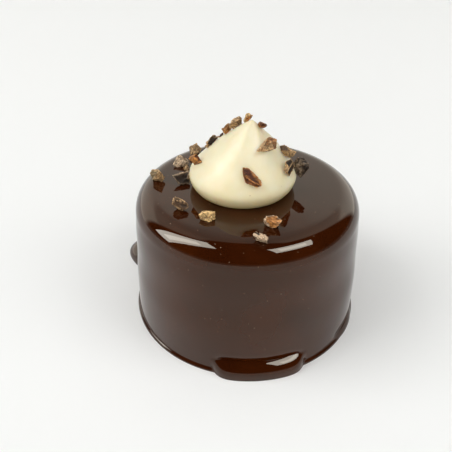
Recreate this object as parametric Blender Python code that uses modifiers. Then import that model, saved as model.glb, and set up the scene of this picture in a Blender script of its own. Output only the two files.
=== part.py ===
"""A single-portion chocolate cake: a round cake coated in a mirror glaze that has run down to a
foot, a piped kiss of cream on its top, and chips of roasted cocoa bean over both.
Metres, +Z up. The origin is the middle of the cake's flat base, and the front faces -Y."""

import math
import random

import bmesh
import bpy
from mathutils import Matrix, Vector

MM = 0.001

# The glazed cake, as (height, radius) of its leaning side up to the shoulder
CAKE_HEIGHT = 42.9 * MM
SIDE_OUTLINE = [(0.0, 36.1 * MM), (8 * MM, 35.9 * MM), (16 * MM, 35.5 * MM),
                (24 * MM, 34.7 * MM), (32 * MM, 34.3 * MM), (36.4 * MM, 33.9 * MM)]
SHOULDER_ROUNDING = 6.5 * MM
SHOULDER_STEPS = 8
CAKE_STEPS = 96
SIDE_ROWS = [30 * MM, 24 * MM, 18 * MM, 13 * MM, 9.5 * MM, 7 * MM]
FOOT_ROWS = [5.6 * MM, 5 * MM, 4.4 * MM, 3.6 * MM, 2.7 * MM, 1.8 * MM, 1.1 * MM, 0.6 * MM, 0.25 * MM]
TOP_RINGS = [9 * MM, 18 * MM, 23.5 * MM]

# The coat's gentle waves: depth, waves round the cake, twist in radians a metre, start
SIDE_WAVES = [(0.12 * MM, 3, 90, 0), (0.07 * MM, 7, -160, 1)]

# Where the glaze has pooled at the foot: middle and half width in degrees round from +X,
# reach past the side, height, how square the pool's ends are, and how full its face is
FOOT_RIM_REACH = 0.7 * MM
FOOT_RIM_HEIGHT = 1.0 * MM
FOOT_RIM_FULLNESS = 2
POOLS = [(-84.5, 22.5, 2.5 * MM, 4.8 * MM, 8, 4),
         (148, 19, 14 * MM, 5.2 * MM, 2.2, 2),
         (40, 16, 2.0 * MM, 2.4 * MM, 2, 2),
         (98, 13, 1.5 * MM, 2.0 * MM, 2, 2),
         (-28, 15, 0.9 * MM, 2.2 * MM, 3, 2)]
POOL_ROUNDNESS = 0.65
POOL_END_SOFTNESS = 1.5
POOL_CREASE = 0.45 * MM
CREASE_WIDTH = 1.4 * MM

# The kiss of cream, as (height, radius) above the cake's top, leaning as it rises
CREAM_MIDDLE = Vector((-1.5 * MM, 0.3 * MM))
CREAM_OUTLINE = [(0.0, 14.2 * MM), (1.6 * MM, 15.3 * MM), (4 * MM, 15.8 * MM), (7 * MM, 14.0 * MM),
                 (10 * MM, 11.3 * MM), (13 * MM, 8.7 * MM), (16 * MM, 5.2 * MM), (18.4 * MM, 2.4 * MM)]
CREAM_HEIGHT = 20.0 * MM
CREAM_LEAN = Vector((2.3 * MM, 0.3 * MM))
CREAM_LEAN_POWER = 2.2
CREAM_TIP_RADIUS = 0.3 * MM
CREAM_TIP_CAP = 0.1 * MM
CREAM_STEPS = 56
CREAM_ROWS = 15
CREAM_ROW_CROWDING = 1.15
RESTING_GAP = 0.3 * MM

# Chips of bean, in millimetres and degrees. Each is turned round the surface's normal from the
# level direction, then tipped about its own length. On the glaze: x, y, length, width, turn, tip
NIBS_ON_GLAZE = [(-27.3, 2.3, 4.6, 4.4, 160, 80), (-20.8, 12.3, 5.0, 4.4, 0, 20),
                 (-18.6, 8.6, 2.6, 2.6, 0, 20), (-19.8, 0.8, 5.2, 3.8, 20, 45),
                 (-19.1, -13.8, 4.6, 4.0, 145, 60), (-11.5, -18.6, 4.7, 3.6, 0, 60),
                 (5.9, -22.2, 5.0, 4.0, 160, 80), (2.6, -28.8, 4.2, 3.6, 150, 60),
                 (-16.7, 19.8, 4.6, 4.2, 45, 40), (-9.5, 19.5, 4.6, 3.4, 120, 15),
                 (0.5, 21.0, 5.0, 3.8, 15, 30), (7.5, 17.5, 3.4, 2.8, 80, 10),
                 (12.5, 21.5, 4.8, 3.4, 150, 35), (-4.0, 25.0, 3.6, 2.8, 60, 20)]
# On the cream: height above the cake's top, azimuth, length, width, turn, tip
NIBS_ON_CREAM = [(7.8, 187, 4.6, 3.4, 45, 80), (8.6, -84, 7.2, 3.4, 140, 20),
                 (14.3, -52, 7.2, 4.4, 5, 38), (10.0, 0, 6.0, 4.2, 135, 20),
                 (8.0, -28, 5.6, 4.6, 20, 20), (18.2, -10, 3.4, 3.2, 135, 40),
                 (18.7, 110, 4.0, 3.2, 90, 40), (16.9, 140, 5.4, 3.4, 0, 60),
                 (15.2, 152, 4.6, 3.0, 0, 60), (13.8, 156, 2.2, 1.8, 10, 30),
                 (11.2, 156, 5.8, 3.8, 45, 0), (13.0, 105, 4.6, 3.2, 70, 20),
                 (8.5, 122, 4.2, 3.4, 10, 15), (11.5, 82, 4.4, 3.0, -30, 25),
                 (6.5, 90, 5.0, 3.6, 40, 15), (5.0, 56, 3.8, 3.0, 0, 20),
                 (9.0, 52, 3.6, 2.8, 100, 10), (10.4, 164, 2.2, 1.8, -20, 70),
                 (5.6, -6, 6.4, 5.4, 30, 80)]
NIB_THICKNESS = (0.45, 0.7)
NIB_CORNERS = (11, 14)
NIB_CORNER_DEPTH = (0.70, 1.0)
NIB_CORNER_TURN = 0.7
NIB_BLUNTNESS = 0.7
NIB_SINK = 0.5 * MM
SHARP_EDGE = math.radians(32)


def smooth_through(knots, place):
    """The value at a place along a smooth curve through (place, value) knots."""
    last = len(knots) - 1
    i = max(k for k in range(last) if k == 0 or knots[k][0] <= place)

    def slope(k):
        before, after = knots[max(k - 1, 0)], knots[min(k + 1, last)]
        return (after[1] - before[1]) / (after[0] - before[0])

    (x0, y0), (x1, y1) = knots[i], knots[i + 1]
    span = x1 - x0
    t = min(max((place - x0) / span, 0.0), 1.0)
    return ((2 * t**3 - 3 * t**2 + 1) * y0 + (t**3 - 2 * t**2 + t) * span * slope(i)
            + (3 * t**2 - 2 * t**3) * y1 + (t**3 - t**2) * span * slope(i + 1))


def empty_the_file():
    for obj in list(bpy.data.objects):
        bpy.data.objects.remove(obj)


def new_collection(name):
    collection = bpy.data.collections.new(name)
    bpy.context.scene.collection.children.link(collection)
    return collection


def food_material(name, colour, roughness):
    material = bpy.data.materials.new(name)
    material.use_nodes = True
    surface = material.node_tree.nodes["Principled BSDF"]
    surface.inputs["Base Color"].default_value = (*colour, 1.0)
    surface.inputs["Roughness"].default_value = roughness
    surface.inputs["Metallic"].default_value = 0.0
    return material


def glaze_material():
    return food_material("chocolate_glaze", (0.022, 0.008, 0.004), 0.05)


def cream_material():
    return food_material("cream", (0.84, 0.76, 0.58), 0.45)


def nib_material():
    return food_material("cocoa_nibs", (0.30, 0.16, 0.08), 0.7)


def turned(name, outline, steps, collection):
    """A closed turned shape: (radius, height) points from the top's middle down to the base's."""
    mesh = bpy.data.meshes.new(name)
    points = [(radius, 0.0, height) for radius, height in outline]
    mesh.from_pydata(points, [(i, i + 1) for i in range(len(points) - 1)], [])
    obj = bpy.data.objects.new(name, mesh)
    collection.objects.link(obj)
    screw = obj.modifiers.new("turned", "SCREW")
    screw.angle = math.tau
    screw.steps = screw.render_steps = steps
    screw.use_merge_vertices = True
    screw.merge_threshold = 0.00001
    apply_modifier(obj, screw)
    return obj


def apply_modifier(obj, modifier):
    with bpy.context.temp_override(object=obj, active_object=obj, selected_objects=[obj]):
        bpy.ops.object.modifier_apply(modifier=modifier.name)


def cake_outline():
    """The cake's turned outline, from the middle of its top over the shoulder to its base."""
    shoulder_height, shoulder_radius = SIDE_OUTLINE[-1]
    outline = [(0.0, CAKE_HEIGHT)] + [(ring, CAKE_HEIGHT) for ring in TOP_RINGS]
    for k in range(SHOULDER_STEPS + 1):
        turn = math.pi / 2 * k / SHOULDER_STEPS
        outline.append((shoulder_radius - SHOULDER_ROUNDING * (1 - math.sin(turn)),
                        shoulder_height + SHOULDER_ROUNDING * math.cos(turn)))
    for height in SIDE_ROWS + FOOT_ROWS + [0.0]:
        outline.append((smooth_through(SIDE_OUTLINE, height), height))
    return outline + [(0.0, 0.0)]


def pool_share(degrees, middle, half_width, squareness):
    """How much of a pool's full size lies at an azimuth: 1 in its middle, 0 past its ends."""
    away = abs((degrees - middle + 180) % 360 - 180) / half_width
    return (1 - away**squareness)**POOL_END_SOFTNESS if away < 1 else 0.0


def foot_shift(degrees, height):
    """How far the glaze stands out from the side near the foot, or is drawn in above a pool."""
    def bead(reach, top, fullness):
        return reach * (1 - (height / top)**fullness)**POOL_ROUNDNESS if height < top else 0.0

    shift = bead(FOOT_RIM_REACH, FOOT_RIM_HEIGHT, FOOT_RIM_FULLNESS)
    crease = 0.0
    for middle, half_width, reach, top, squareness, fullness in POOLS:
        share = pool_share(degrees, middle, half_width, squareness)
        shift = max(shift, bead(reach * share, top, fullness))
        crease = max(crease, POOL_CREASE * share * math.exp(-((height - top) / CREASE_WIDTH)**2))
    return shift - crease


def side_wave(angle, height):
    """The gentle unevenness of a poured coat, none at the top and at the base."""
    fade = math.sin(math.pi * height / CAKE_HEIGHT)
    return fade * sum(depth * math.sin(count * angle + twist * height + start)
                      for depth, count, twist, start in SIDE_WAVES)


def glazed_cake(collection):
    """The cake turned as one body, its side then moved out and in where the glaze ran."""
    cake = turned("glazed_cake", cake_outline(), CAKE_STEPS, collection)
    flat_top_radius = SIDE_OUTLINE[-1][1] - SHOULDER_ROUNDING
    for vertex in cake.data.vertices:
        radius = math.hypot(vertex.co.x, vertex.co.y)
        if radius > flat_top_radius:
            angle = math.atan2(vertex.co.y, vertex.co.x)
            height = vertex.co.z
            stretch = 1 + (foot_shift(math.degrees(angle), height) + side_wave(angle, height)) / radius
            vertex.co.x *= stretch
            vertex.co.y *= stretch
    cake.data.materials.append(glaze_material())
    return cake


def cream_radius(height):
    """The kiss's radius at a height above the cake's top, closing to a blunt point."""
    return smooth_through(CREAM_OUTLINE + [(CREAM_HEIGHT, CREAM_TIP_RADIUS)], height)


def cream_bend(height):
    """Where the kiss's own middle lies at a height above the cake's top."""
    return CREAM_MIDDLE + CREAM_LEAN * (height / CREAM_HEIGHT)**CREAM_LEAN_POWER


def cream_surface(height, angle):
    """A point on the cream, in the cake's frame."""
    middle = cream_bend(height)
    radius = cream_radius(height)
    return Vector((middle.x + radius * math.cos(angle), middle.y + radius * math.sin(angle),
                   CAKE_HEIGHT + RESTING_GAP + height))


def cream_kiss(collection):
    """The kiss turned upright from its blunt tip down, then leant over and set on the cake."""
    rows = [CREAM_HEIGHT * (1 - (k / CREAM_ROWS)**CREAM_ROW_CROWDING) for k in range(CREAM_ROWS + 1)]
    tip = (0.0, CREAM_HEIGHT + CREAM_TIP_CAP)
    outline = [tip] + [(cream_radius(row), row) for row in rows] + [(0.0, 0.0)]
    kiss = turned("cream", outline, CREAM_STEPS, collection)
    for vertex in kiss.data.vertices:
        middle = cream_bend(vertex.co.z)
        vertex.co += Vector((middle.x, middle.y, CAKE_HEIGHT + RESTING_GAP))
    kiss.data.materials.append(cream_material())
    return kiss


def nib(name, length, width, seed, collection, material):
    """A chip of cocoa bean: the hull of a few uneven corners, at its length and width."""
    draw = random.Random(seed)
    corners = draw.randint(*NIB_CORNERS)
    golden_turn = math.pi * (3 - math.sqrt(5))
    chip = bmesh.new()
    for k in range(corners):
        rise = 1 - 2 * (k + 0.5) / corners
        turn = k * golden_turn + draw.uniform(-NIB_CORNER_TURN, NIB_CORNER_TURN)
        out = math.sqrt(1 - rise**2)
        round_corner = (out * math.cos(turn), out * math.sin(turn), rise)
        blunt = Vector([math.copysign(abs(along)**NIB_BLUNTNESS, along) for along in round_corner])
        chip.verts.new(blunt * draw.uniform(*NIB_CORNER_DEPTH))
    bmesh.ops.convex_hull(chip, input=chip.verts)
    inside = [v for v in chip.verts if not v.link_faces]
    bmesh.ops.delete(chip, geom=inside, context="VERTS")
    thickness = width * draw.uniform(*NIB_THICKNESS)
    for axis, size in enumerate((length, width, thickness)):
        low = min(v.co[axis] for v in chip.verts)
        high = max(v.co[axis] for v in chip.verts)
        for v in chip.verts:
            v.co[axis] = size * MM * ((v.co[axis] - low) / (high - low) - 0.5)
    bmesh.ops.recalc_face_normals(chip, faces=chip.faces)
    mesh = bpy.data.meshes.new(name)
    chip.to_mesh(mesh)
    chip.free()
    mesh.materials.append(material)
    obj = bpy.data.objects.new(name, mesh)
    obj.hide_render = True
    obj.display_type = "WIRE"
    collection.objects.link(obj)
    return obj


def lay_nib(obj, place, level, normal, turn, tip):
    """Lay a chip on a surface, so that its lowest corner is sunk in a little."""
    surface = Matrix((level, normal.cross(level), normal)).transposed()
    lying = Matrix.Rotation(math.radians(turn), 3, "Z") @ Matrix.Rotation(math.radians(tip), 3, "X")
    lowest = min((lying @ v.co).z for v in obj.data.vertices)
    centre = place - normal * (lowest + NIB_SINK)
    obj.matrix_world = Matrix.Translation(centre) @ (surface @ lying).to_4x4()


def scatter_on_glaze(collection, material):
    for seed, (x, y, length, width, turn, tip) in enumerate(NIBS_ON_GLAZE, start=1):
        chip = nib(f"nib_{seed}", length, width, seed, collection, material)
        place = Vector((x * MM, y * MM, CAKE_HEIGHT))
        lay_nib(chip, place, Vector((1, 0, 0)), Vector((0, 0, 1)), turn, tip)


def scatter_on_cream(collection, material):
    first = len(NIBS_ON_GLAZE) + 1
    for seed, (height, azimuth, length, width, turn, tip) in enumerate(NIBS_ON_CREAM, start=first):
        chip = nib(f"nib_{seed}", length, width, seed, collection, material)
        height, angle = height * MM, math.radians(azimuth)
        place = cream_surface(height, angle)
        level = Vector((-math.sin(angle), math.cos(angle), 0))
        up_slope = (cream_surface(height + 0.1 * MM, angle) - place).normalized()
        lay_nib(chip, place, level, level.cross(up_slope).normalized(), turn, tip)


def fuse(obj, collection):
    """Join a collection's chips to an object as one body, then remove the loose chips."""
    union = obj.modifiers.new("nibs", "BOOLEAN")
    union.operation = "UNION"
    union.operand_type = "COLLECTION"
    union.collection = collection
    union.solver = "EXACT"
    union.material_mode = "TRANSFER"
    apply_modifier(obj, union)
    for chip in list(collection.objects):
        bpy.data.objects.remove(chip)
    bpy.data.collections.remove(collection)
    obj.data.shade_smooth()
    obj.data.set_sharp_from_angle(angle=SHARP_EDGE)


def build():
    empty_the_file()
    parts = new_collection("glazed_chocolate_cake")
    cake = glazed_cake(parts)
    cream = cream_kiss(parts)
    cocoa = nib_material()
    glaze_nibs = new_collection("nibs_on_glaze")
    scatter_on_glaze(glaze_nibs, cocoa)
    cream_nibs = new_collection("nibs_on_cream")
    scatter_on_cream(cream_nibs, cocoa)
    bpy.context.view_layer.update()
    fuse(cake, glaze_nibs)
    fuse(cream, cream_nibs)


build()
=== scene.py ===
"""A single-portion chocolate cake on a pale floor: a round cake in a mirror glaze, a piped kiss of
cream on its top, and chips of roasted cocoa bean scattered over both."""

import math
import random

import bpy
import numpy as np
from mathutils import Matrix, Vector, noise


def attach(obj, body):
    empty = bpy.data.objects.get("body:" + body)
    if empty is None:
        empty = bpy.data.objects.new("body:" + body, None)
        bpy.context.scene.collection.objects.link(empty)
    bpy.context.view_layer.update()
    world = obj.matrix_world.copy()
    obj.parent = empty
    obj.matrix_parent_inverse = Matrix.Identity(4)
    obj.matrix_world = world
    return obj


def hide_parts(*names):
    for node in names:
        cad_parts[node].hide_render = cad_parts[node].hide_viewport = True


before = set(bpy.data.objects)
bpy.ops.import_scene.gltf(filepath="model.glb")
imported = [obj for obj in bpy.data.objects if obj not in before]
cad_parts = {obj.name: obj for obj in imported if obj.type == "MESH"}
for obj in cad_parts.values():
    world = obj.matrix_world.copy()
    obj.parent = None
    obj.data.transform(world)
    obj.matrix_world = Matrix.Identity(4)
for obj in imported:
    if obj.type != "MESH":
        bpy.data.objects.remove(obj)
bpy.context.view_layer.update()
bpy.ops.object.select_all(action="DESELECT")


# The mirror glaze: a chocolate coat set with gelatine, poured warm over the frozen round cake. It
# hides the cake wholly, turns the top's edge into a soft shoulder, and has run down to a foot that
# stands out in pools, with a drawn-in line above each pool.
MM = 0.001
GLAZE_STEPS = 256
CAKE_HEIGHT = 42.9 * MM
SIDE_OUTLINE = [(0.0, 36.1 * MM), (8 * MM, 35.9 * MM), (16 * MM, 35.5 * MM),
                (24 * MM, 34.7 * MM), (32 * MM, 34.3 * MM), (36.4 * MM, 33.9 * MM)]
SHOULDER_ROUNDING = 6.5 * MM
SHOULDER_STEPS = 20
FOOT_TOP = 7 * MM
FOOT_ROWS = 24
FOOT_ROW_CROWDING = 1.5
SIDE_ROWS = 34
TOP_RINGS = [26 * MM, 22 * MM, 18 * MM, 14 * MM, 10 * MM, 6 * MM, 3 * MM, 1 * MM]
SIDE_WAVES = [(0.12 * MM, 3, 90, 0), (0.07 * MM, 7, -160, 1)]
FOOT_RIM_REACH = 0.7 * MM
FOOT_RIM_HEIGHT = 1.0 * MM
FOOT_RIM_FULLNESS = 2
# Middle and half width in degrees round from +X, reach, height, squareness and fullness
POOLS = [(-84.5, 22.5, 2.5 * MM, 4.8 * MM, 8, 4), (148, 19, 14 * MM, 5.2 * MM, 2.2, 2),
         (40, 16, 2.0 * MM, 2.4 * MM, 2, 2), (98, 13, 1.5 * MM, 2.0 * MM, 2, 2),
         (-28, 15, 0.9 * MM, 2.2 * MM, 3, 2)]
POOL_ROUNDNESS = 0.65
POOL_END_SOFTNESS = 1.5
POOL_CREASE = 0.45 * MM
CREASE_WIDTH = 1.4 * MM
SHARP_CORNER = math.radians(50)
GLAZE_DARK = (0.027, 0.0052, 0.0008, 1)
GLAZE_WARM = (0.038, 0.0075, 0.0010, 1)
GLAZE_SHEEN = (1.0, 0.95, 0.82, 1)
# Soft clouds in the colour and sways in the skin, in grains a metre
GLAZE_CLOUDS = 70
GLAZE_SWAYS = 85
GLAZE_RELIEF = 0.10 * MM
BUBBLE_SKIN = (0.22, 0.13, 0.075, 1)
BUBBLE_SPACING = 1.7 * MM
BUBBLE_FREE_SHARE = 0.45
BUBBLE_FREE_FOOT = (4 * MM, 9 * MM)


def smooth_through(knots, place):
    """The value at a place along a smooth curve through (place, value) knots."""
    last = len(knots) - 1
    i = max(k for k in range(last) if k == 0 or knots[k][0] <= place)

    def slope(k):
        before, after = knots[max(k - 1, 0)], knots[min(k + 1, last)]
        return (after[1] - before[1]) / (after[0] - before[0])

    (x0, y0), (x1, y1) = knots[i], knots[i + 1]
    span = x1 - x0
    t = min(max((place - x0) / span, 0.0), 1.0)
    return ((2 * t**3 - 3 * t**2 + 1) * y0 + (t**3 - 2 * t**2 + t) * span * slope(i)
            + (3 * t**2 - 2 * t**3) * y1 + (t**3 - t**2) * span * slope(i + 1))


def turned_shell(name, outline, steps):
    """A disc whose rim is drawn up and scaled through (radius, height) points, then closed."""
    bpy.ops.object.select_all(action="DESELECT")
    radius, height = outline[0]
    bpy.ops.mesh.primitive_circle_add(vertices=steps, radius=radius, fill_type="TRIFAN",
                                      location=(0, 0, height), enter_editmode=True)
    shell = bpy.context.object
    shell.name = shell.data.name = name
    bpy.ops.mesh.region_to_loop()
    for next_radius, next_height in outline[1:]:
        rise = (0, 0, next_height - height)
        bpy.ops.mesh.extrude_edges_move(TRANSFORM_OT_translate={"value": rise})
        scale = next_radius / radius
        bpy.ops.transform.resize(value=(scale, scale, 1), center_override=(0, 0, next_height))
        radius, height = next_radius, next_height
    bpy.ops.mesh.merge(type="CENTER")
    bpy.ops.mesh.select_all(action="SELECT")
    bpy.ops.mesh.normals_make_consistent(inside=False)
    bpy.ops.object.mode_set(mode="OBJECT")
    bpy.ops.object.transform_apply(location=True, rotation=True, scale=True)
    return shell


def glaze_outline():
    """From the foot up the leaning side, over the shoulder, to just short of the top's middle."""
    shoulder_height, shoulder_radius = SIDE_OUTLINE[-1]
    heights = [FOOT_TOP * (k / FOOT_ROWS)**FOOT_ROW_CROWDING for k in range(FOOT_ROWS)]
    heights += [FOOT_TOP + (shoulder_height - FOOT_TOP) * k / SIDE_ROWS for k in range(SIDE_ROWS)]
    outline = [(smooth_through(SIDE_OUTLINE, height), height) for height in heights]
    for k in range(SHOULDER_STEPS + 1):
        turn = math.pi / 2 * k / SHOULDER_STEPS
        outline.append((shoulder_radius - SHOULDER_ROUNDING * (1 - math.cos(turn)),
                        shoulder_height + SHOULDER_ROUNDING * math.sin(turn)))
    return outline + [(ring, CAKE_HEIGHT) for ring in TOP_RINGS]


def pool_share(degrees, middle, half_width, squareness):
    """How much of a pool's full size lies at an azimuth: 1 in its middle, 0 past its ends."""
    away = abs((degrees - middle + 180) % 360 - 180) / half_width
    return (1 - away**squareness)**POOL_END_SOFTNESS if away < 1 else 0.0


def foot_shift(degrees, height):
    """How far the glaze stands out from the side near the foot, or is drawn in above a pool."""
    def bead(reach, top, fullness):
        return reach * (1 - (height / top)**fullness)**POOL_ROUNDNESS if height < top else 0.0

    shift = bead(FOOT_RIM_REACH, FOOT_RIM_HEIGHT, FOOT_RIM_FULLNESS)
    crease = 0.0
    for middle, half_width, reach, top, squareness, fullness in POOLS:
        share = pool_share(degrees, middle, half_width, squareness)
        shift = max(shift, bead(reach * share, top, fullness))
        crease = max(crease, POOL_CREASE * share * math.exp(-((height - top) / CREASE_WIDTH)**2))
    return shift - crease


def side_wave(angle, height):
    """The gentle unevenness of a poured coat, none at the top and at the base."""
    fade = math.sin(math.pi * height / CAKE_HEIGHT)
    return fade * sum(depth * math.sin(count * angle + twist * height + start)
                      for depth, count, twist, start in SIDE_WAVES)


def poured_glaze():
    """The turned coat, its side then moved out and in where the glaze ran."""
    glaze = turned_shell("mirror_glaze", glaze_outline(), GLAZE_STEPS)
    flat_top_radius = SIDE_OUTLINE[-1][1] - SHOULDER_ROUNDING
    for vertex in glaze.data.vertices:
        radius = math.hypot(vertex.co.x, vertex.co.y)
        if radius > flat_top_radius:
            angle = math.atan2(vertex.co.y, vertex.co.x)
            height = vertex.co.z
            outward = foot_shift(math.degrees(angle), height) + side_wave(angle, height)
            stretch = 1 + outward / radius
            vertex.co.x *= stretch
            vertex.co.y *= stretch
    bpy.ops.object.shade_smooth_by_angle(angle=SHARP_CORNER)
    return glaze


class Wire:
    """One output of a tree of shader nodes. Sums and products of wires add Math nodes."""

    def __init__(self, tree, socket):
        self.tree = tree
        self.socket = socket

    def node(self, kind, settings=None, values=None, output=0):
        """Add a node: its settings first, then the numbers or wires of its sockets."""
        node = self.tree.nodes.new("ShaderNode" + kind)
        for name, setting in (settings or {}).items():
            setattr(node, name, setting)
        for name, value in (values or {}).items():
            if isinstance(value, Wire):
                self.tree.links.new(value.socket, node.inputs[name])
            else:
                node.inputs[name].default_value = value
        return Wire(self.tree, node.outputs[output])

    def math(self, operation, *values):
        return self.node("Math", {"operation": operation}, dict(enumerate((self, *values))))

    def __add__(self, other):
        return self.math("ADD", other)

    def __sub__(self, other):
        return self.math("SUBTRACT", other)

    def __rsub__(self, other):
        return self.node("Math", {"operation": "SUBTRACT"}, {0: other, 1: self})

    def __mul__(self, other):
        return self.math("MULTIPLY", other)

    def __gt__(self, other):
        return self.math("GREATER_THAN", other)

    def __lt__(self, other):
        return self.math("LESS_THAN", other)

    __radd__ = __add__
    __rmul__ = __mul__

    def step(self, start, end, low=0.0, high=1.0):
        """A soft step from low to high as this goes from start to end."""
        ends = {"Value": self, "From Min": start, "From Max": end, "To Min": low, "To Max": high}
        return self.node("MapRange", {"interpolation_type": "SMOOTHSTEP"}, ends)

    def between(self, first, second):
        """Colours mixed by this: the first at 0, the second at 1."""
        return self.node("Mix", {"data_type": "RGBA"}, {"Factor": self, 6: first, 7: second}, 2)

    def grain(self, scale, detail=3.0, roughness=0.5, distortion=0.0):
        """Noise at a number of grains a metre, read at this place."""
        return self.node("TexNoise", None, {"Vector": self, "Scale": scale, "Detail": detail,
                                            "Roughness": roughness, "Distortion": distortion})

    def cells(self, spacing):
        """Cells this far apart: how far off a cell's middle is, and a number drawn for it."""
        values = {"Vector": self, "Scale": 1 / spacing}
        reach = self.node("TexVoronoi", None, values)
        return reach, self.node("TexVoronoi", None, values, 1).part(0)

    def stretched(self, x, y, z):
        """This place, scaled along each axis."""
        return self.node("Mapping", None, {"Vector": self, "Scale": (x, y, z)})

    def part(self, axis):
        return self.node("SeparateXYZ", None, {"Vector": self}, axis)

    def relief(self, depth, strength=1.0):
        """A bump of this height, at a depth in metres."""
        return self.node("Bump", None, {"Height": self, "Distance": depth, "Strength": strength})


def new_finish(name):
    """A material, its surface shader, and a place on its piece."""
    material = bpy.data.materials.new(name)
    material.use_nodes = True
    tree = material.node_tree
    surface = tree.nodes["Principled BSDF"]
    place = Wire(tree, tree.nodes.new("ShaderNodeTexCoord").outputs["Object"])
    return material, surface, place


def finish_with(surface, fixed, varied):
    """Set the shader's fixed values on its own sockets, and link what varies over the surface."""
    for name, value in fixed.items():
        surface.inputs[name].default_value = value
    for name, wire in varied.items():
        wire.tree.links.new(wire.socket, surface.inputs[name])


def mirror_glaze():
    """Near-black red-brown under a wet gloss, with a few tiny bubbles above the foot."""
    material, surface, place = new_finish("mirror_glaze")
    cloud = place.grain(GLAZE_CLOUDS, 2).step(0.35, 0.68)
    colour = cloud.between(GLAZE_DARK, GLAZE_WARM)
    reach, pick = place.cells(BUBBLE_SPACING)
    above_foot = place.part(2).step(*BUBBLE_FREE_FOOT)
    bubble = reach.step(0.09, 0.05) * (pick > BUBBLE_FREE_SHARE) * above_foot
    colour = (bubble * 0.8).between(colour, BUBBLE_SKIN)
    roughness = cloud * 0.01 + bubble * 0.25 + 0.018
    skin = (place.grain(GLAZE_SWAYS, 1) + bubble * 0.35).relief(GLAZE_RELIEF, 0.8)
    finish_with(surface, {"IOR": 1.46, "Specular IOR Level": 0.5, "Specular Tint": GLAZE_SHEEN},
                {"Base Color": colour, "Roughness": roughness, "Normal": skin})
    return material


glaze = poured_glaze()
glaze.data.materials.append(mirror_glaze())
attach(glaze, "root")
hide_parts("glazed_cake")


# The kiss of cream: whipped vanilla cream piped straight down through a round tube and pulled
# away, so it is full at the foot, hollow on its flanks and ends in a soft leaning point. It holds
# faint flutes from the piping and stands on the glaze by its own weight.
CREAM_STEPS = 192
CREAM_ROWS = 70
CREAM_MIDDLE = Vector((-1.5 * MM, 0.3 * MM))
CREAM_OUTLINE = [(0.0, 14.2 * MM), (1.6 * MM, 15.3 * MM), (4 * MM, 15.8 * MM),
                 (7 * MM, 14.0 * MM), (10 * MM, 11.3 * MM), (13 * MM, 8.7 * MM),
                 (16 * MM, 5.2 * MM), (18.4 * MM, 2.4 * MM)]
CREAM_HEIGHT = 20.0 * MM
CREAM_LEAN = Vector((2.3 * MM, 0.3 * MM))
CREAM_LEAN_POWER = 2.2
CREAM_TIP_RADIUS = 0.3 * MM
CREAM_TIP_CAP = 0.08 * MM
RESTING_GAP = 0.3 * MM
CREAM_FOOT = [(13.5 * MM, -RESTING_GAP), (13.9 * MM, -0.2 * MM)]
CREAM_ROW_CROWDING = 1.25
CREAM_FLUTES = [(0.07 * MM, 3, 60, 0.4), (0.05 * MM, 7, -90, 2.1)]
# Folds drawn up to the point: azimuth and half width in degrees, how far they stand out
CREAM_FOLDS = [(-112, 14, 0.16 * MM), (-84, 12, -0.12 * MM), (-58, 16, 0.10 * MM),
               (35, 20, 0.2 * MM), (120, 16, -0.15 * MM), (165, 18, 0.15 * MM)]
CREAM_PALE = (0.81, 0.75, 0.53, 1)
CREAM_YELLOW = (0.77, 0.65, 0.37, 1)
# The lowest part of the kiss is painted deeper yellow between the heights below: painted shade
CREAM_SHADED = (0.75, 0.61, 0.30, 1)
CREAM_SHADED_BELOW = (49 * MM, 43 * MM)
CREAM_CRUMB = (0.42, 0.28, 0.13, 1)
# Streaks, patches and the finest air bubbles, in grains a metre
CREAM_STREAKS = 260
CREAM_PATCHES = 150
CREAM_AIR = 1400
CREAM_RELIEF = 0.07 * MM
PORE_SPACING = 1.5 * MM
PORE_FREE_SHARE = 0.72
CRUMB_SHARE = 0.07


def cream_radius(height):
    """The kiss's radius at a height above the cake's top, closing to a blunt point."""
    return smooth_through(CREAM_OUTLINE + [(CREAM_HEIGHT, CREAM_TIP_RADIUS)], height)


def cream_bend(height):
    """Where the kiss's own middle lies at a height above the cake's top."""
    return CREAM_MIDDLE + CREAM_LEAN * (max(height, 0.0) / CREAM_HEIGHT)**CREAM_LEAN_POWER


def cream_surface(height, angle):
    """A point on the cream, in the cake's frame."""
    middle = cream_bend(height)
    radius = cream_radius(height)
    return Vector((middle.x + radius * math.cos(angle), middle.y + radius * math.sin(angle),
                   CAKE_HEIGHT + RESTING_GAP + height))


def cream_flute(angle, height):
    """The faint flutes and folds left by the tube, none at the foot and at the point."""
    fade = math.sin(math.pi * min(max(height / CREAM_HEIGHT, 0.0), 1.0))
    flute = sum(depth * math.sin(count * angle + twist * height + start)
                for depth, count, twist, start in CREAM_FLUTES)
    for azimuth, half_width, depth in CREAM_FOLDS:
        away = (math.degrees(angle) - azimuth + 180) % 360 - 180
        flute += depth * math.exp(-(away / half_width)**2)
    return fade * flute


def piped_kiss():
    """The kiss turned upright from its foot, then fluted, leant over and set on the glaze."""
    rows = [CREAM_HEIGHT * (k / CREAM_ROWS)**(1 / CREAM_ROW_CROWDING)
            for k in range(CREAM_ROWS + 1)]
    tip = (CREAM_TIP_RADIUS / 2, CREAM_HEIGHT + CREAM_TIP_CAP)
    outline = CREAM_FOOT + [(cream_radius(row), row) for row in rows] + [tip]
    kiss = turned_shell("cream_kiss", outline, CREAM_STEPS)
    for vertex in kiss.data.vertices:
        height = vertex.co.z
        radius = math.hypot(vertex.co.x, vertex.co.y)
        if radius > CREAM_TIP_RADIUS:
            stretch = 1 + cream_flute(math.atan2(vertex.co.y, vertex.co.x), height) / radius
            vertex.co.x *= stretch
            vertex.co.y *= stretch
        middle = cream_bend(height)
        vertex.co += Vector((middle.x, middle.y, CAKE_HEIGHT + RESTING_GAP))
    bpy.ops.object.shade_smooth_by_angle(angle=SHARP_CORNER)
    return kiss


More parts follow.
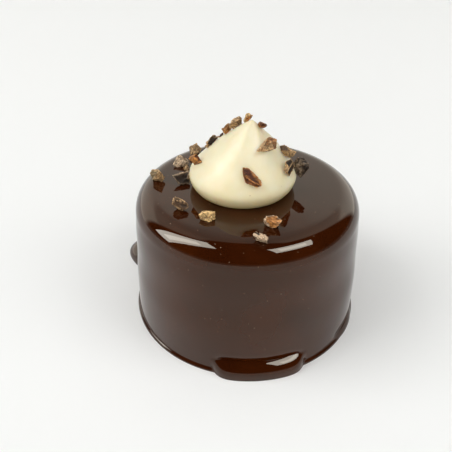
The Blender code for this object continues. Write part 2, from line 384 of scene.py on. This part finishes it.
def whipped_cream():
    """Ivory, softly lit from within, with faint streaks, open pores, a few brown crumbs and painted
    shade low on the kiss.
    """
    material, surface, place = new_finish("whipped_cream")
    streaks = place.stretched(1, 1, 0.25).grain(CREAM_STREAKS, 2).step(0.3, 0.7)
    patches = place.grain(CREAM_PATCHES, 3).step(0.35, 0.65)
    colour = (streaks * 0.25 + patches * 0.30).between(CREAM_PALE, CREAM_YELLOW)
    # Painted shade: the lowest part of the kiss is painted deeper yellow
    colour = place.part(2).step(*CREAM_SHADED_BELOW).between(colour, CREAM_SHADED)
    reach, pick = place.cells(PORE_SPACING)
    pore = reach.step(0.16, 0.06) * (pick > PORE_FREE_SHARE)
    crumb = reach.step(0.13, 0.08) * (pick < CRUMB_SHARE)
    colour = (crumb * 0.7).between(colour, CREAM_CRUMB)
    air = place.grain(CREAM_AIR, 3)
    skin = (streaks * 0.5 + patches * 0.3 + air * 0.25 - pore * 0.9).relief(CREAM_RELIEF, 0.8)
    finish_with(surface, {"IOR": 1.42, "Specular IOR Level": 0.5, "Subsurface Weight": 0.5,
                          "Subsurface Radius": (1.0, 0.65, 0.35), "Subsurface Scale": 1.8 * MM},
                {"Base Color": colour, "Roughness": patches * 0.1 + 0.36, "Normal": skin})
    return material


cream = piped_kiss()
cream.data.materials.append(whipped_cream())
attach(cream, "root")
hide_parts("cream")


# The cocoa nibs on the glaze: chips of roasted, cracked cocoa bean, dropped by hand while the
# glaze was still wet, so each is sunk in a little. A chip keeps the tan skin of the bean on one
# side, and is dark, layered and pitted where it broke.
TAN = (0.72, 0.47, 0.23)
OCHRE = (0.88, 0.60, 0.26)
PALE = (0.95, 0.74, 0.50)
PINK = (0.67, 0.50, 0.33)
ORANGE = (0.66, 0.29, 0.08)
RUST = (0.42, 0.17, 0.055)
WINE = (0.11, 0.028, 0.010)
OLIVE = (0.38, 0.29, 0.15)
UMBER = (0.15, 0.085, 0.045)
GREY = (0.26, 0.19, 0.125)
DARK = (0.012, 0.007, 0.005)
# The colour of painted shade in a chip's layers, grooves and pits
HOLLOW_SHADE = np.array((0.045, 0.028, 0.017))
# x, y, length, width in millimetres, turn and tip in degrees, tone of the skin, tone of the break,
# the side that broke in degrees round from +X, and how strongly it is pitted
NIBS_ON_GLAZE = [(-27.3, 2.3, 4.6, 4.4, 160, 80, TAN, OLIVE, 180, 0.5),
                 (-20.8, 12.3, 5.0, 4.4, 0, 20, PINK, OLIVE, 100, 0.7),
                 (-18.6, 8.6, 2.6, 2.6, 0, 20, TAN, UMBER, 20, 0.6),
                 (-19.8, 0.8, 5.2, 3.8, 20, 45, PINK, DARK, -100, 0.3),
                 (-19.1, -13.8, 4.6, 4.0, 145, 60, TAN, UMBER, -70, 0.9),
                 (-11.5, -18.6, 4.7, 3.6, 0, 60, OCHRE, TAN, 170, 0.4),
                 (5.9, -22.2, 5.0, 4.0, 160, 80, PALE, ORANGE, -80, 0.4),
                 (2.6, -28.8, 4.2, 3.6, 150, 60, PINK, PINK, 100, 1.0),
                 (-16.7, 19.8, 4.6, 4.2, 45, 40, TAN, PINK, 170, 0.7),
                 (-9.5, 19.5, 4.6, 3.4, 120, 15, TAN, RUST, 60, 0.4),
                 (0.5, 21.0, 5.0, 3.8, 15, 30, PINK, DARK, -60, 0.6),
                 (7.5, 17.5, 3.4, 2.8, 80, 10, OCHRE, TAN, 120, 0.4),
                 (12.5, 21.5, 4.8, 3.4, 150, 35, TAN, UMBER, 30, 0.5),
                 (-4.0, 25.0, 3.6, 2.8, 60, 20, OCHRE, RUST, 90, 0.5)]
NIB_THICKNESS = (0.45, 0.7)
NIB_CORNERS = (11, 14)
NIB_CORNER_DEPTH = (0.70, 1.0)
NIB_CORNER_TURN = 0.7
NIB_BLUNTNESS = 0.7
NIB_SINK = 0.5 * MM
NIB_CUTS = 19
EDGE_SOFTNESS = 0.06 * MM
SHARP_EDGE = math.radians(38)
# Each chip reads the noise at its own place, this far on for each seed
GRAIN_APART = 0.01
GROOVES_APART = 9.0
# Grains a metre along the chip and across it, depth
CHIP_LAYERS = [(240, 420, 0.22 * MM), (1500, 2400, 0.10 * MM)]
CHIP_GROOVES = [(330, 800, 0.22 * MM), (650, 1500, 0.14 * MM)]
LAYER_SHADE = 2.0
LAYER_SHADE_START = 0.2
LAYER_SHADE_MOST = 0.6
GROOVE_SHARPNESS = 8
GROOVE_SHADE = 0.8
PITS_A_METRE = 1500
PIT_DEPTH = 0.20 * MM
PIT_START = 0.08
PIT_FADE = 0.14
# The broken side leans upwards, its border wanders, and its middle is hollow
BREAK_RISE = 0.45
BREAK_START = 0.25
BREAK_FADE = 0.25
BREAK_WANDERS = 700
BREAK_WANDER = 0.5
BREAK_HOLLOW = 0.62 * MM
BREAK_FILLED_BY_PITS = 0.7
BREAK_WIDTH = 0.6 * MM
# Pale edges, partly wear and partly painted highlight, fading on edges that face down towards what
# the chip lies on
EDGE_PALE_WIDTH = 0.14 * MM
EDGE_WEAR_AND_HIGHLIGHT = 0.5
EDGE_COVER = 0.8
EDGE_FADE_RISE = 1.4
EDGE_FADE_LOW = 0.2
FLECK_BROWN = (0.42, 0.31, 0.24, 1)
FLECKS_A_METRE = 2100
CRUMBLE_A_METRE = 3600
CRUMBLE_DEPTH = 0.10 * MM


def chip_corners(length, width, seed):
    """A chip's few uneven corners, at its length, width and thickness."""
    draw = random.Random(seed)
    count = draw.randint(*NIB_CORNERS)
    golden_turn = math.pi * (3 - math.sqrt(5))
    corners = []
    for k in range(count):
        rise = 1 - 2 * (k + 0.5) / count
        turn = k * golden_turn + draw.uniform(-NIB_CORNER_TURN, NIB_CORNER_TURN)
        out = math.sqrt(1 - rise**2)
        round_corner = (out * math.cos(turn), out * math.sin(turn), rise)
        blunt = Vector([math.copysign(abs(along)**NIB_BLUNTNESS, along) for along in round_corner])
        corners.append(blunt * draw.uniform(*NIB_CORNER_DEPTH))
    sizes = (length * MM, width * MM, width * MM * draw.uniform(*NIB_THICKNESS))
    for axis, size in enumerate(sizes):
        low = min(corner[axis] for corner in corners)
        high = max(corner[axis] for corner in corners)
        for corner in corners:
            corner[axis] = size * ((corner[axis] - low) / (high - low) - 0.5)
    return corners


def cut_chip(corners):
    """Loose corners wrapped in a hull, then cut up finely enough to be roughened."""
    bpy.ops.object.select_all(action="DESELECT")
    bpy.ops.mesh.primitive_circle_add(vertices=len(corners), radius=MM)
    chip = bpy.context.object
    for vertex, corner in zip(chip.data.vertices, corners):
        vertex.co = corner
    bpy.ops.object.mode_set(mode="EDIT")
    bpy.ops.mesh.select_all(action="SELECT")
    bpy.ops.mesh.convex_hull(join_triangles=False)
    bpy.ops.mesh.normals_make_consistent(inside=False)
    bpy.ops.object.mode_set(mode="OBJECT")
    faces = [(face.normal.copy(), face.center.copy()) for face in chip.data.polygons]
    bpy.ops.object.mode_set(mode="EDIT")
    bpy.ops.mesh.select_all(action="SELECT")
    bpy.ops.mesh.subdivide(number_cuts=NIB_CUTS)
    bpy.ops.object.mode_set(mode="OBJECT")
    return chip, faces


def roughen(chip, faces, seed, skin, heart, broken_side, upward, pitting):
    """Soften a chip's edges, layer and pit its faces, and tone it by skin and break, with painted
    shade in its hollows and pale edges that are partly wear and partly painted highlight.
    """
    def noise_at(spots, grain):
        return np.array([noise.noise(spot * grain) for spot in spots])

    normals = np.array([normal for normal, _ in faces])
    depths = np.array([normal.dot(centre) for normal, centre in faces])
    places = np.array([vertex.co for vertex in chip.data.vertices])
    below = np.maximum(depths - places @ normals.T, 0.0)
    shares = np.exp(-below / EDGE_SOFTNESS)
    outward = shares @ normals
    outward /= np.linalg.norm(outward, axis=1)[:, None]
    corner_apart = normals @ normals.T < math.cos(SHARP_EDGE)
    from_edge = np.where(corner_apart[below.argmin(axis=1)], below, MM).min(axis=1)
    away = Vector((seed, seed, seed)) * GRAIN_APART
    spots = [Vector(place) + away for place in places]

    towards_break = outward @ np.array(broken_side) + BREAK_WANDER * noise_at(spots, BREAK_WANDERS)
    broken = np.clip((towards_break - BREAK_START) / BREAK_FADE, 0, 1)
    dip = BREAK_HOLLOW * (1 - BREAK_FILLED_BY_PITS * pitting)
    shift = -EDGE_SOFTNESS * np.log(shares.sum(axis=1))
    shift -= dip * broken * (1 - np.exp(-from_edge / BREAK_WIDTH))
    layered = np.zeros(len(places))
    for along, across, depth in CHIP_LAYERS:
        layered += depth * noise_at(spots, Vector((along, across, across)))
    layer_shade = -LAYER_SHADE_START - LAYER_SHADE * layered / CHIP_LAYERS[0][2]
    hollow = np.clip(layer_shade, 0, LAYER_SHADE_MOST)
    for along, across, depth in CHIP_GROOVES:
        grain = Vector((along, across, across))
        groove_place = Vector((seed, seed, seed)) * GROOVES_APART
        groove = np.array([abs(noise.noise(spot * grain + groove_place)) for spot in spots])
        groove = np.clip(1 - GROOVE_SHARPNESS * groove, 0, 1)
        layered -= depth * groove
        hollow = np.maximum(hollow, GROOVE_SHADE * groove)
    pits = pitting * np.clip((-noise_at(spots, PITS_A_METRE) - PIT_START) / PIT_FADE, 0, 1)
    hollow = np.maximum(hollow, pits)[:, None]
    moved = places + outward * (shift + layered - PIT_DEPTH * pits)[:, None]
    chip.data.vertices.foreach_set("co", moved.astype(np.float32).ravel())

    # Pale edges: partly wear, partly painted highlight that is brightest on edges facing up
    edge = np.exp(-from_edge / EDGE_PALE_WIDTH)
    edge *= np.clip(EDGE_FADE_RISE * outward @ np.array(upward) + EDGE_FADE_LOW, 0, 1)
    broken = (broken * (1 - EDGE_COVER * edge))[:, None]
    tones = np.array(skin) * (1 - broken) + np.array(heart) * broken
    tones *= (1 + EDGE_WEAR_AND_HIGHLIGHT * edge)[:, None]
    # Painted shade: the chip is darkened where it is layered in, grooved and pitted
    tones = np.hstack([tones * (1 - hollow) + HOLLOW_SHADE * hollow, np.ones((len(tones), 1))])
    tint = chip.data.color_attributes.new("tone", "FLOAT_COLOR", "POINT")
    tint.data.foreach_set("color", tones.astype(np.float32).ravel())


def laid_chip(place, level, normal, seed, length, width, turn, tip, skin, heart, side, pitting):
    """A finished chip, laid on a surface with its lowest corner sunk in a little.

    The surface is given by a place on it, a level direction and its normal. The broken side is in
    degrees round from +X."""
    corners = chip_corners(length, width, seed)
    surface = Matrix((level, normal.cross(level), normal)).transposed()
    lying = Matrix.Rotation(math.radians(turn), 3, "Z") @ Matrix.Rotation(math.radians(tip), 3, "X")
    lowest = min((lying @ corner).z for corner in corners)
    centre = place - normal * (lowest + NIB_SINK)
    turned = surface @ lying
    to_chip = turned.transposed()
    side = math.radians(side)
    broken_side = to_chip @ Vector((math.cos(side), math.sin(side), BREAK_RISE)).normalized()
    chip, faces = cut_chip(corners)
    roughen(chip, faces, seed, skin, heart, broken_side, to_chip @ normal, pitting)
    chip.data.transform(Matrix.Translation(centre) @ turned.to_4x4())
    return chip


def join_chips(name, chips):
    """All chips as one piece, shaded smooth."""
    bpy.ops.object.select_all(action="DESELECT")
    for chip in chips:
        chip.select_set(True)
    bpy.context.view_layer.objects.active = chips[0]
    bpy.ops.object.join()
    bpy.ops.object.shade_smooth()
    chips[0].name = chips[0].data.name = name
    return chips[0]


def cocoa_nib():
    """Roasted bean: the chip's tones, with their painted shade and partly painted edge highlight,
    under a fine fleck, dry and faintly waxy.
    """
    material, surface, place = new_finish("cocoa_nib")
    # The tone attribute holds the chip's colour with painted shade in its hollows and partly
    # painted highlight on its edges
    tone = place.node("Attribute", {"attribute_name": "tone"})
    fleck = place.grain(FLECKS_A_METRE, 4, 0.65, 0.6).step(0.42, 0.66)
    colour = place.node("Mix", {"data_type": "RGBA", "blend_type": "MULTIPLY"},
                        {"Factor": fleck * 0.75, 6: tone, 7: FLECK_BROWN}, 2)
    relief = (place.grain(CRUMBLE_A_METRE, 3) * 0.5 - fleck * 0.6).relief(CRUMBLE_DEPTH, 0.8)
    finish_with(surface, {"IOR": 1.45, "Specular IOR Level": 0.22},
                {"Base Color": colour, "Roughness": fleck * 0.15 + 0.48, "Normal": relief})
    return material


def nibs_on_glaze():
    chips = []
    for seed, (x, y, *shape) in enumerate(NIBS_ON_GLAZE, start=1):
        place = Vector((x * MM, y * MM, CAKE_HEIGHT))
        chips.append(laid_chip(place, Vector((1, 0, 0)), Vector((0, 0, 1)), seed, *shape))
    return join_chips("nibs_on_glaze", chips)


nib_finish = cocoa_nib()
glaze_nibs = nibs_on_glaze()
glaze_nibs.data.materials.append(nib_finish)
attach(glaze_nibs, "root")
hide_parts("glazed_cake")


# The cocoa nibs on the cream: the same chips, pressed lightly into the kiss, with most of them on
# its back and its left flank, and the largest standing on edge on the right of the point.
# Height above the cake's top, azimuth, length, width, turn, tip, tones, broken side, pitting
NIBS_ON_CREAM = [(7.8, 187, 4.6, 3.4, 45, 80, ORANGE, WINE, -20, 0.3),
                 (8.6, -84, 7.2, 3.4, 140, 20, ORANGE, WINE, -110, 0.2),
                 (14.3, -52, 7.2, 4.4, 5, 38, TAN, RUST, 20, 0.4),
                 (10.0, 0, 6.0, 4.2, 135, 20, TAN, UMBER, 180, 0.4),
                 (8.0, -28, 5.6, 4.6, 20, 20, TAN, DARK, -40, 0.4),
                 (18.2, -10, 3.4, 3.2, 135, 40, RUST, WINE, -70, 0.3),
                 (18.7, 110, 4.0, 3.2, 90, 40, OCHRE, ORANGE, -20, 0.3),
                 (16.9, 140, 5.4, 3.4, 0, 60, PALE, TAN, -90, 0.6),
                 (15.2, 152, 4.6, 3.0, 0, 60, TAN, ORANGE, -100, 0.5),
                 (13.8, 156, 2.2, 1.8, 10, 30, UMBER, DARK, -90, 0.4),
                 (11.2, 156, 5.8, 3.8, 45, 0, TAN, DARK, -60, 0.5),
                 (13.0, 105, 4.6, 3.2, 70, 20, TAN, UMBER, 60, 0.5),
                 (8.5, 122, 4.2, 3.4, 10, 15, PINK, UMBER, 120, 0.6),
                 (11.5, 82, 4.4, 3.0, -30, 25, TAN, RUST, 90, 0.4),
                 (6.5, 90, 5.0, 3.6, 40, 15, OCHRE, TAN, 60, 0.4),
                 (5.0, 56, 3.8, 3.0, 0, 20, PINK, DARK, 30, 0.6),
                 (9.0, 52, 3.6, 2.8, 100, 10, TAN, UMBER, 90, 0.4),
                 (10.4, 164, 2.2, 1.8, -20, 70, TAN, UMBER, 90, 0.3),
                 (5.6, -6, 6.4, 5.4, 30, 80, GREY, DARK, -50, 0.9)]
SLOPE_STEP = 0.1 * MM


def nibs_on_cream():
    first = len(NIBS_ON_GLAZE) + 1
    chips = []
    for seed, (height, azimuth, *shape) in enumerate(NIBS_ON_CREAM, start=first):
        height, angle = height * MM, math.radians(azimuth)
        place = cream_surface(height, angle)
        level = Vector((-math.sin(angle), math.cos(angle), 0))
        up_slope = (cream_surface(height + SLOPE_STEP, angle) - place).normalized()
        chips.append(laid_chip(place, level, level.cross(up_slope).normalized(), seed, *shape))
    return join_chips("nibs_on_cream", chips)


cream_nibs = nibs_on_cream()
cream_nibs.data.materials.append(nib_finish)
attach(cream_nibs, "root")
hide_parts("cream")


# The floor, the camera and the light: a plain pale floor that runs on past the picture, a camera
# that looks down at the front, two bright windows high on either side, a pale wall behind, and
# soft light from above that the gloss doesn't mirror.
FLOOR_SIZE = 6.0
FLOOR_DROP = 0.01 * MM
FLOOR_PALE = (0.955, 0.96, 0.94, 1)
FLOOR_CLOUD = (0.90, 0.90, 0.89, 1)
CAMERA_PLACE = (-6.407 * MM, -127.745 * MM, 118.015 * MM)
CAMERA_PITCH = math.radians(54.671)
CAMERA_LENS = 39.03
CAMERA_SENSOR = 36.0
NEAREST_SEEN = 5 * MM
# name, azimuth from the back, elevation and roll in degrees, distance, width and height in metres,
# radiance, and whether gloss mirrors it; what gloss doesn't mirror lights all the rest
LAMPS = [("left_window", -96, 42, -10, 4.0, 1.7, 4.2, 9.0, True),
         ("left_window_glare", -97, 42, -10, 3.9, 0.7, 2.6, 5.0, True),
         ("right_window", 114, 57, -32, 4.0, 2.1, 1.5, 9.0, True),
         ("right_window_glare", 114, 57, -32, 3.9, 1.3, 0.7, 4.0, True),
         ("left_light", -98, 38, 0, 4.0, 3.0, 3.0, 3.2, False),
         ("right_light", 110, 40, 0, 4.0, 2.5, 2.5, 2.4, False),
         ("front_light", 180, 15, 0, 4.0, 4.0, 3.0, 2.2, False),
         ("overhead_light", 0, 88, 0, 4.0, 6.0, 6.0, 0.95, False)]
# The wall behind: where its middle and its edges lie in degrees round from the back, where it ends
# and where it dims in degrees up, and how much it brightens towards either side
WALL_MIDDLE = -5
WALL_EDGE = (66, 58)
WALL_TOP = (71, 66)
WALL_DIMS_UP = (32, 37.5)
WALL_DIMMING = 0.45
WALL_RIGHT, WALL_RIGHT_GAIN = (5, 50), 0.60
WALL_LEFT, WALL_LEFT_GAIN = (-10, -50), 0.50
ROOM_DARK = 0.01
HORIZON = (12, -2)
BELOW_HORIZON = 0.4
WALL_GREEN, WALL_BLUE = 0.96, 0.86
BACKDROP_PALE = (0.875, 0.88, 0.862, 1)


def floor_finish():
    """Matt and nearly white, with a faint cloud."""
    material, surface, place = new_finish("pale_floor")
    cloud = place.grain(3, 2).step(0.3, 0.7)
    finish_with(surface, {"Specular IOR Level": 0.2, "Roughness": 0.7},
                {"Base Color": (cloud * 0.03).between(FLOOR_PALE, FLOOR_CLOUD)})
    return material


def hang_lamp(name, azimuth, elevation, roll, distance, width, height, radiance, mirrored):
    """A flat lamp that faces the cake from a direction."""
    azimuth, elevation = math.radians(azimuth), math.radians(elevation)
    towards = Vector((math.cos(elevation) * math.sin(azimuth),
                      math.cos(elevation) * math.cos(azimuth), math.sin(elevation)))
    place = Vector((0, 0, CAKE_HEIGHT)) + towards * distance
    rolled = Matrix.Rotation(math.radians(roll), 3, "Z")
    facing = towards.to_track_quat("Z", "Y").to_matrix() @ rolled
    bpy.ops.object.light_add(type="AREA", location=place, rotation=facing.to_euler())
    lamp = bpy.context.object
    lamp.name = name
    lamp.data.shape = "RECTANGLE"
    lamp.data.size, lamp.data.size_y = width, height
    lamp.data.energy = radiance * width * height * math.pi
    lamp.visible_camera = False
    lamp.visible_glossy = mirrored
    lamp.visible_diffuse = lamp.visible_transmission = not mirrored


def room_light():
    """What the gloss mirrors round the cake: a pale wall behind, and dark above and in front."""
    world = bpy.data.worlds.new("room")
    world.use_nodes = True
    world.cycles_visibility.diffuse = False
    bpy.context.scene.world = world
    tree = world.node_tree
    way = Wire(tree, tree.nodes.new("ShaderNodeTexCoord").outputs["Generated"])
    elevation = way.part(2).math("ARCSINE") * math.degrees(1)
    azimuth = way.part(0).math("ARCTAN2", way.part(1)) * math.degrees(1)
    behind = (azimuth - WALL_MIDDLE).math("ABSOLUTE").step(*WALL_EDGE)
    wall = (1 - elevation.step(*WALL_DIMS_UP) * WALL_DIMMING) * elevation.step(*WALL_TOP)
    wall = wall * (1 + azimuth.step(*WALL_RIGHT) * WALL_RIGHT_GAIN)
    wall = wall * (1 + azimuth.step(*WALL_LEFT) * WALL_LEFT_GAIN)
    light = behind * wall + elevation.step(*HORIZON) * BELOW_HORIZON + ROOM_DARK
    tinted = {0: light, 1: light * WALL_GREEN, 2: light * WALL_BLUE}
    mirrored = way.node("CombineColor", None, tinted)
    seen = way.node("LightPath", None, None, 0)
    shade = seen.between(mirrored, BACKDROP_PALE)
    tree.links.new(shade.socket, tree.nodes["Background"].inputs["Color"])


bpy.ops.mesh.primitive_plane_add(size=FLOOR_SIZE, location=(0, 0, -FLOOR_DROP))
floor = bpy.context.object
floor.name = "floor"
bpy.ops.object.transform_apply(location=True)
floor.data.materials.append(floor_finish())
for lamp in LAMPS:
    hang_lamp(*lamp)
room_light()
bpy.ops.object.camera_add(location=CAMERA_PLACE, rotation=(CAMERA_PITCH, 0, 0))
camera = bpy.context.object
camera.data.lens = CAMERA_LENS
camera.data.sensor_width = CAMERA_SENSOR
camera.data.clip_start = NEAREST_SEEN
bpy.context.scene.camera = camera
bpy.context.scene.view_settings.view_transform = "Standard"
